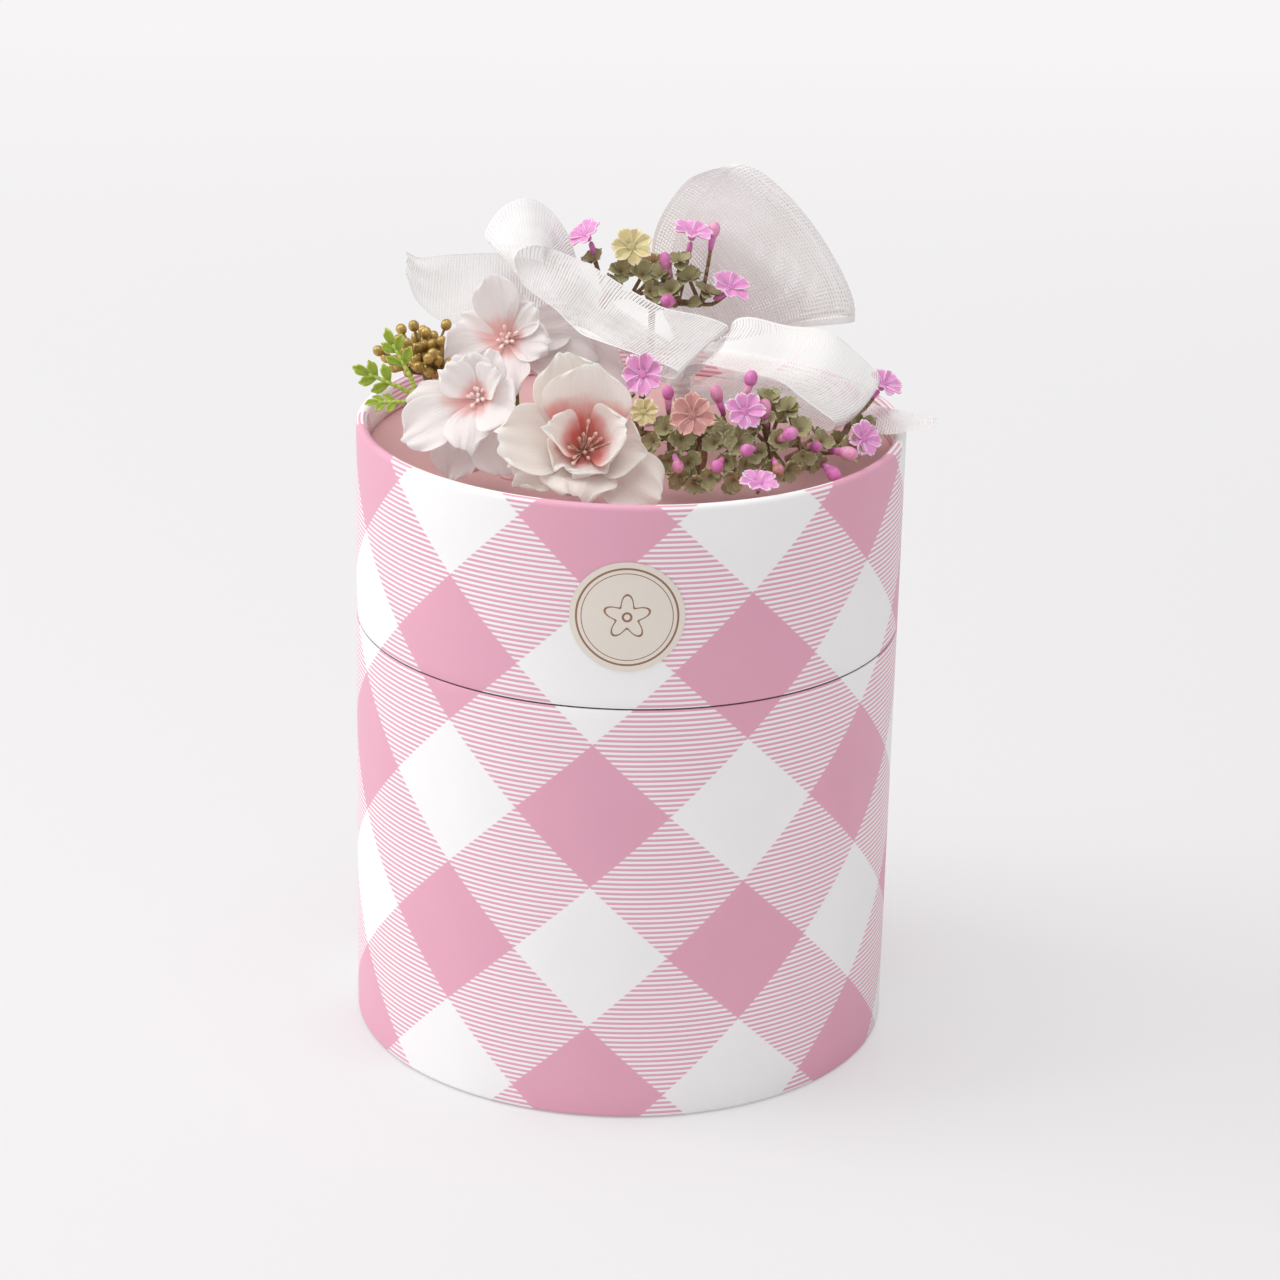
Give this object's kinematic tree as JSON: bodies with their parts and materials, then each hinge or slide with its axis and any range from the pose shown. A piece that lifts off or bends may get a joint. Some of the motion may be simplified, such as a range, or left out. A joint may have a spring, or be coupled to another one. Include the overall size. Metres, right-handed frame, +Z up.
{
  "type": "round gift box",
  "caption": "Round paper tube gift box with a harlequin gingham wrap, a lift-off lid on an inner neck, and artificial blossoms, sprigs and a sheer ribbon bow glued into the lid's recess.",
  "frame": {"origin": "centre of the box's foot, on the floor it stands on", "axes": "+Z up along the tube's axis, -Y towards the side with the round label, +X to the right seen from that side"},
  "size_m": [0.1576, 0.1502, 0.2414],
  "materials": {
    "greyboard": "matte",
    "white_board": "matte",
    "gingham_paper": "matte",
    "dusty_pink_paper": "matte",
    "cream_label": "satin",
    "blush_petal": "matte",
    "coral_petal": "matte",
    "beige_stamen": "matte",
    "green_stem": "matte",
    "bronze_bead": "satin",
    "olive_wire": "matte",
    "lime_leaf": "matte",
    "olive_stem": "matte",
    "pink_floret": "matte",
    "cream_floret": "matte",
    "dusty_floret": "matte",
    "magenta_bud": "matte",
    "sheer_ribbon": "matte",
    "ribbon_tie": "matte",
    "hot_glue": "satin"
  },
  "bodies": {
    "base": {"base_tube": "greyboard", "base_wrap": "gingham_paper", "base_disc": "greyboard", "neck_tube": "white_board"},
    "lid": {"lid_tube": "greyboard", "lid_wrap": "gingham_paper", "lid_disc": "greyboard", "lid_disc_facing": "dusty_pink_paper", "label_sticker": "cream_label", "front_blossom_outer_petals": "blush_petal", "front_blossom_inner_petals": "coral_petal", "front_blossom_stamens": "beige_stamen", "front_blossom_calyx": "green_stem", "left_blossom_outer_petals": "blush_petal", "left_blossom_inner_petals": "coral_petal", "left_blossom_stamens": "beige_stamen", "left_blossom_calyx": "green_stem", "upper_blossom_outer_petals": "blush_petal", "upper_blossom_inner_petals": "coral_petal", "upper_blossom_stamens": "beige_stamen", "upper_blossom_calyx": "green_stem", "berry_beads": "bronze_bead", "berry_wires": "olive_wire", "green_leaf_sprig": "lime_leaf", "back_sprig_stems": "olive_stem", "back_sprig_pink_florets": "pink_floret", "back_sprig_cream_florets": "cream_floret", "back_sprig_buds": "magenta_bud", "front_sprig_stems": "olive_stem", "front_sprig_pink_florets": "pink_floret", "front_sprig_dusty_florets": "dusty_floret", "front_sprig_cream_florets": "cream_floret", "front_sprig_buds": "magenta_bud", "right_sprig_stems": "olive_stem", "right_sprig_pink_florets": "pink_floret", "right_sprig_buds": "magenta_bud", "bow_left_loop": "sheer_ribbon", "bow_back_loop": "sheer_ribbon", "bow_front_loop": "sheer_ribbon", "bow_left_tail": "sheer_ribbon", "bow_right_tail": "sheer_ribbon", "bow_tie": "ribbon_tie", "glue_dabs": "hot_glue"}
  },
  "joints": [
    {"name": "lid_lift", "type": "slide", "parent": "base", "child": "lid", "axis": [0, 0, 1], "range_m": [0, 0.05]}
  ]
}
